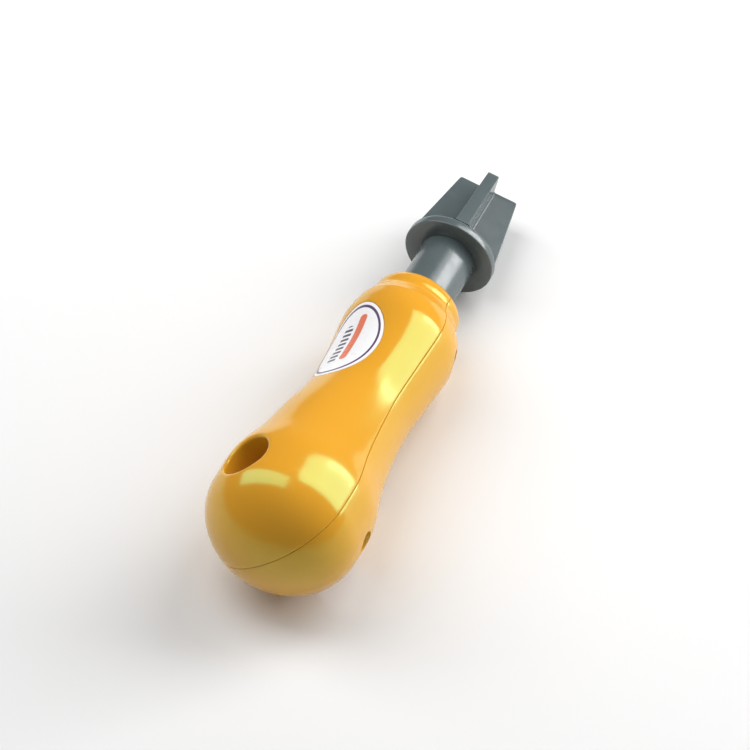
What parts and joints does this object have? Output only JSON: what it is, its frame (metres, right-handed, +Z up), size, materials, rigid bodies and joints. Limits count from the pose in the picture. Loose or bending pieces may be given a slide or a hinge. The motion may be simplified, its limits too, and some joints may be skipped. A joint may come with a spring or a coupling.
{
  "type": "toy hand drill",
  "caption": "Hand-turned toy drill: bulbous two-piece grip with an oval label and a hanging hole, and a click-turning spindle with a collar and a cross-shaped bit.",
  "frame": {"origin": "middle of the bit's flat end, on the spin axis", "axes": "+Y along the spin axis, out of the bit; +Z up when the tool lies on a table with its label turned 38 degrees towards -X"},
  "size_m": [0.0388, 0.1343, 0.0388],
  "materials": {
    "handle_plastic": "glossy moulded ABS, warm yellow-orange",
    "label_film": "printed satin film",
    "tool_plastic": "satin moulded ABS, blue-grey",
    "bearing_plastic": "natural acetal",
    "screw_steel": "zinc-plated"
  },
  "bodies": {
    "handle": {"handle_shell_label": "handle_plastic", "handle_shell_back": "handle_plastic", "label_plate": "label_film", "shell_screw_bulb_left": "screw_steel", "shell_screw_bulb_right": "screw_steel", "shell_screw_waist": "screw_steel", "shell_screw_front_left": "screw_steel", "shell_screw_front_right": "screw_steel", "front_bearing": "bearing_plastic", "rear_bearing": "bearing_plastic", "click_leaf_label_side": "screw_steel", "click_leaf_back_side": "screw_steel"},
    "spindle": {"spindle_shaft": "tool_plastic", "bit_collar": "tool_plastic", "cross_bit": "tool_plastic", "ratchet_wheel": "bearing_plastic", "thrust_washer": "screw_steel", "end_washer": "screw_steel", "spindle_bolt": "screw_steel"}
  },
  "joints": [
    {"name": "bit_spin", "type": "hinge", "parent": "handle", "child": "spindle", "pos_m": [0, 0, 0], "axis": [0, 1, 0], "continuous": true, "deforming": ["click_leaf_label_side", "click_leaf_back_side"]}
  ]
}
